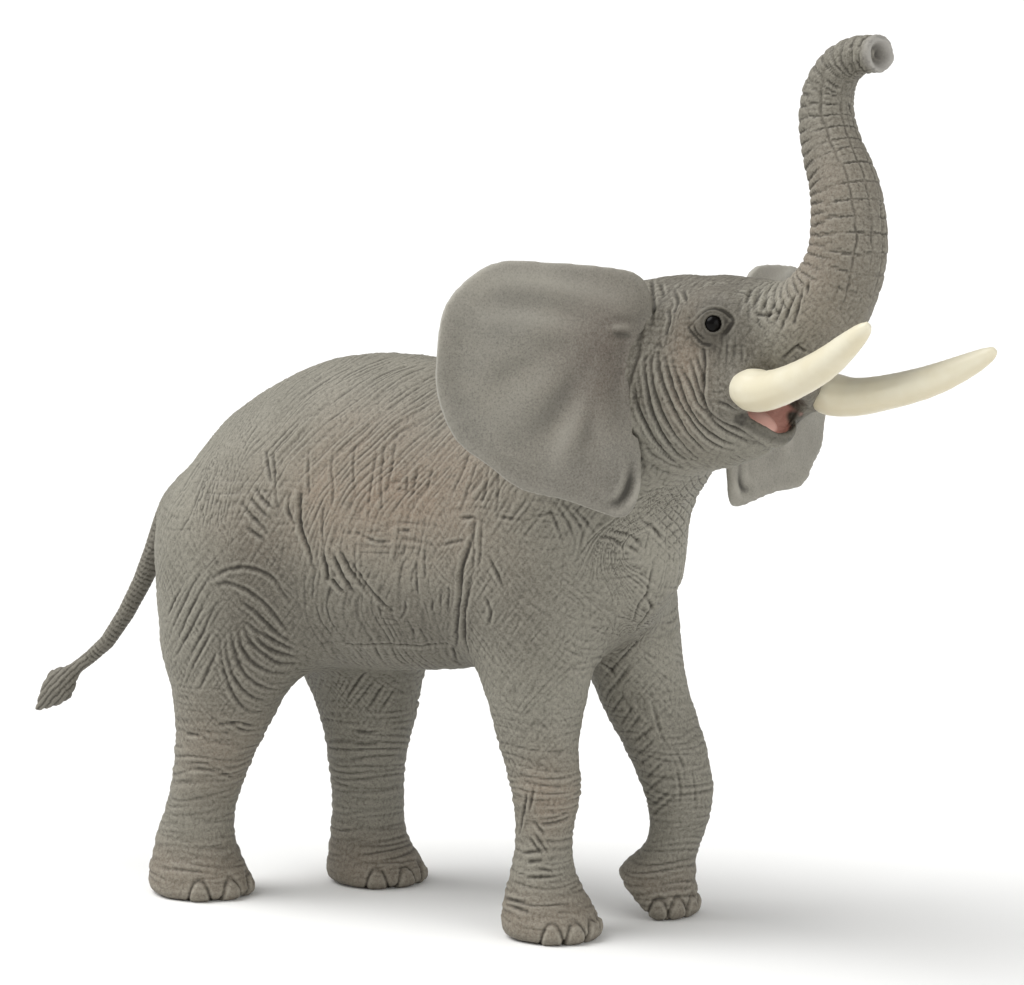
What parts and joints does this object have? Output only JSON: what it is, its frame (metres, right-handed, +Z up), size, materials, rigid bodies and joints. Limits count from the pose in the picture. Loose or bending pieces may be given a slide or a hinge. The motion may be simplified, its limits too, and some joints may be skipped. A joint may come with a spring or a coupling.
{
  "type": "toy elephant figure",
  "caption": "Standing toy elephant with raised trunk, spread ears, long tusks and a drooping tufted tail, moulded in wrinkled matt grey plastic.",
  "frame": {"origin": "on the floor, under the middle of the bounding box", "axes": "+X forward, the way the body faces; +Y to the elephant's left; +Z up"},
  "size_m": [0.2212, 0.0928, 0.1743],
  "materials": {
    "hide": "matt grey hand-painted skin with a darker wash in its wrinkles",
    "ivory": "satin cream paint",
    "eye_gloss": "gloss black varnish",
    "mouth_pink": "satin salmon-pink paint"
  },
  "bodies": {
    "root": {"torso": "hide", "head": "hide", "lower_jaw": "hide", "trunk": "hide", "right_ear": "hide", "left_ear": "hide", "front_right_leg": "hide", "front_left_leg": "hide", "hind_right_leg": "hide", "hind_left_leg": "hide", "tail": "hide", "right_tusk": "ivory", "left_tusk": "ivory", "right_eye": "eye_gloss", "left_eye": "eye_gloss", "tongue": "mouth_pink"}
  },
  "joints": []
}
